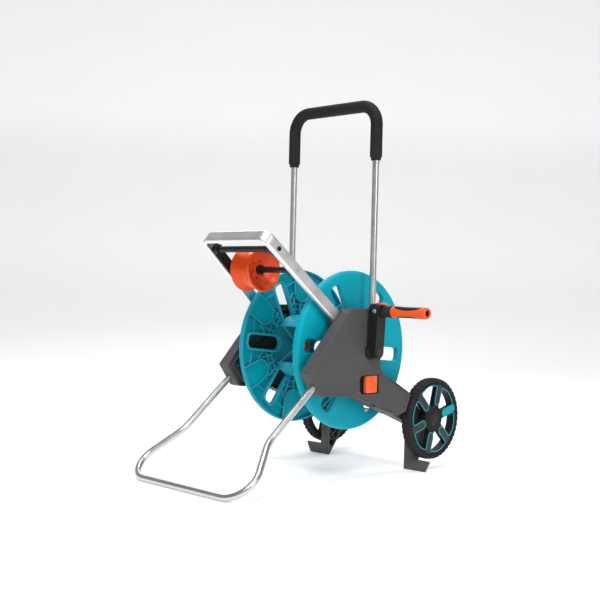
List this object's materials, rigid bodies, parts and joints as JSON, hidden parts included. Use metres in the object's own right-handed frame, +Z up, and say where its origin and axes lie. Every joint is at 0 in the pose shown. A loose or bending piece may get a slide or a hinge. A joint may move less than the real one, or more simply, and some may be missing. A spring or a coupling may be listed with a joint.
{
  "type": "garden hose reel cart",
  "caption": "Two-wheeled garden hose reel cart with a slotted drum, a fold-out crank, a hose guide roller on a hoop, a stand loop and a telescopic handle.",
  "frame": {"origin": "middle of the cart's bounding box at ground level", "axes": "+X across the cart towards the crank, -Y to the front where the stand and hose guide are, +Y towards the wheels, +Z up"},
  "size_m": [0.5274, 0.7568, 0.8967],
  "materials": {
    "cover_grey": "moulded, satin",
    "black_plastic": "moulded, fine texture",
    "zinc_screw": "zinc plated",
    "hoop_aluminium": "satin extrusion",
    "chrome_tube": "polished tube",
    "turquoise_plastic": "moulded, half gloss",
    "orange_plastic": "moulded, half gloss",
    "cap_grey": "moulded, satin",
    "tyre_rubber": "treaded, matte",
    "grip_foam": "foam sleeve, matte",
    "spool_red": "moulded, half gloss"
  },
  "bodies": {
    "cart": {"side_cover_right": "cover_grey", "side_cover_left": "cover_grey", "side_frame_right": "black_plastic", "side_frame_left": "black_plastic", "foot_right": "cover_grey", "foot_left": "cover_grey", "cover_screw_right_1": "zinc_screw", "cover_screw_left_1": "zinc_screw", "cover_screw_right_2": "zinc_screw", "cover_screw_left_2": "zinc_screw", "cover_screw_right_3": "zinc_screw", "cover_screw_left_3": "zinc_screw", "hoop": "hoop_aluminium", "upper_rod": "black_plastic", "lower_rod": "black_plastic", "guide_bracket_right": "black_plastic", "guide_bracket_left": "black_plastic", "upper_rod_plug_right": "black_plastic", "upper_rod_plug_left": "black_plastic", "lower_rod_screw_right": "zinc_screw", "lower_rod_screw_left": "zinc_screw", "stand_tube": "chrome_tube", "wheel_axle": "chrome_tube", "drum_bearing_right": "black_plastic", "drum_bearing_left": "black_plastic", "handle_guide_right": "black_plastic", "handle_guide_left": "black_plastic"},
    "drum": {"flange_right": "turquoise_plastic", "flange_left": "turquoise_plastic", "drum_core": "turquoise_plastic", "drum_shaft_right": "black_plastic", "drum_shaft_left": "black_plastic", "hose_connector": "orange_plastic", "crank_arm": "black_plastic", "crank_cap": "cap_grey", "crank_pivot_screw": "zinc_screw"},
    "crank_fold": {"crank_knuckle": "black_plastic"},
    "crank_lock": {"fold_lock": "orange_plastic"},
    "crank_handgrip": {"crank_grip": "orange_plastic"},
    "inlet": {"inlet_elbow": "black_plastic", "inlet_collar": "orange_plastic"},
    "wheel_right": {"tyre_right": "tyre_rubber", "wheel_rim_right": "black_plastic", "wheel_trim_right": "turquoise_plastic", "wheel_bush_right": "black_plastic", "hub_cap_right": "black_plastic"},
    "wheel_left": {"tyre_left": "tyre_rubber", "wheel_rim_left": "black_plastic", "wheel_trim_left": "turquoise_plastic", "wheel_bush_left": "black_plastic", "hub_cap_left": "black_plastic"},
    "handle": {"handle_tube": "chrome_tube", "handle_grip": "grip_foam", "tube_plug_right": "black_plastic", "tube_plug_left": "black_plastic"},
    "handle_latch_right": {"latch_right": "orange_plastic"},
    "handle_latch_left": {"latch_left": "orange_plastic"},
    "guide_carriage": {"guide_sleeve": "black_plastic"},
    "guide_roller": {"guide_spool": "spool_red"}
  },
  "joints": [
    {"name": "drum_turn", "type": "hinge", "parent": "cart", "child": "drum", "pos_m": [-0.05725, 0.06458, 0.298], "axis": [1, 0, 0], "continuous": true},
    {"name": "crank_fold_up", "type": "hinge", "parent": "drum", "child": "crank_fold", "pos_m": [0.11925, 0.06458, 0.394], "axis": [0, -1, 0], "range_deg": [0, 90]},
    {"name": "crank_lock_press", "type": "slide", "parent": "crank_fold", "child": "crank_lock", "axis": [0, 0, -1], "range_m": [0, 0.0025], "stiffness_N_per_m": 800, "springref_m": -0.002},
    {"name": "crank_grip_turn", "type": "hinge", "parent": "crank_fold", "child": "crank_handgrip", "pos_m": [0.21275, 0.06458, 0.394], "axis": [1, 0, 0], "continuous": true},
    {"name": "inlet_swivel", "type": "hinge", "parent": "cart", "child": "inlet", "pos_m": [-0.22525, 0.06458, 0.298], "axis": [1, 0, 0], "continuous": true},
    {"name": "wheel_right_turn", "type": "hinge", "parent": "cart", "child": "wheel_right", "pos_m": [0.11475, 0.27758, 0.1267], "axis": [1, 0, 0], "continuous": true},
    {"name": "wheel_left_turn", "type": "hinge", "parent": "cart", "child": "wheel_left", "pos_m": [-0.22925, 0.27758, 0.1267], "axis": [1, 0, 0], "continuous": true},
    {"name": "handle_slide", "type": "slide", "parent": "cart", "child": "handle", "axis": [0, 0, -1], "range_m": [0, 0.165]},
    {"name": "handle_latch_right_slide", "type": "slide", "parent": "cart", "child": "handle_latch_right", "axis": [0, -1, 0], "range_m": [0, 0.012], "stiffness_N_per_m": 300, "springref_m": -0.003},
    {"name": "handle_latch_left_slide", "type": "slide", "parent": "cart", "child": "handle_latch_left", "axis": [0, -1, 0], "range_m": [0, 0.012], "stiffness_N_per_m": 300, "springref_m": -0.003},
    {"name": "guide_travel", "type": "slide", "parent": "cart", "child": "guide_carriage", "axis": [1, 0, 0], "range_m": [-0.036, 0.08]},
    {"name": "guide_roller_turn", "type": "hinge", "parent": "guide_carriage", "child": "guide_roller", "pos_m": [-0.07895, -0.14649, 0.48429], "axis": [1, 0, 0], "continuous": true}
  ]
}
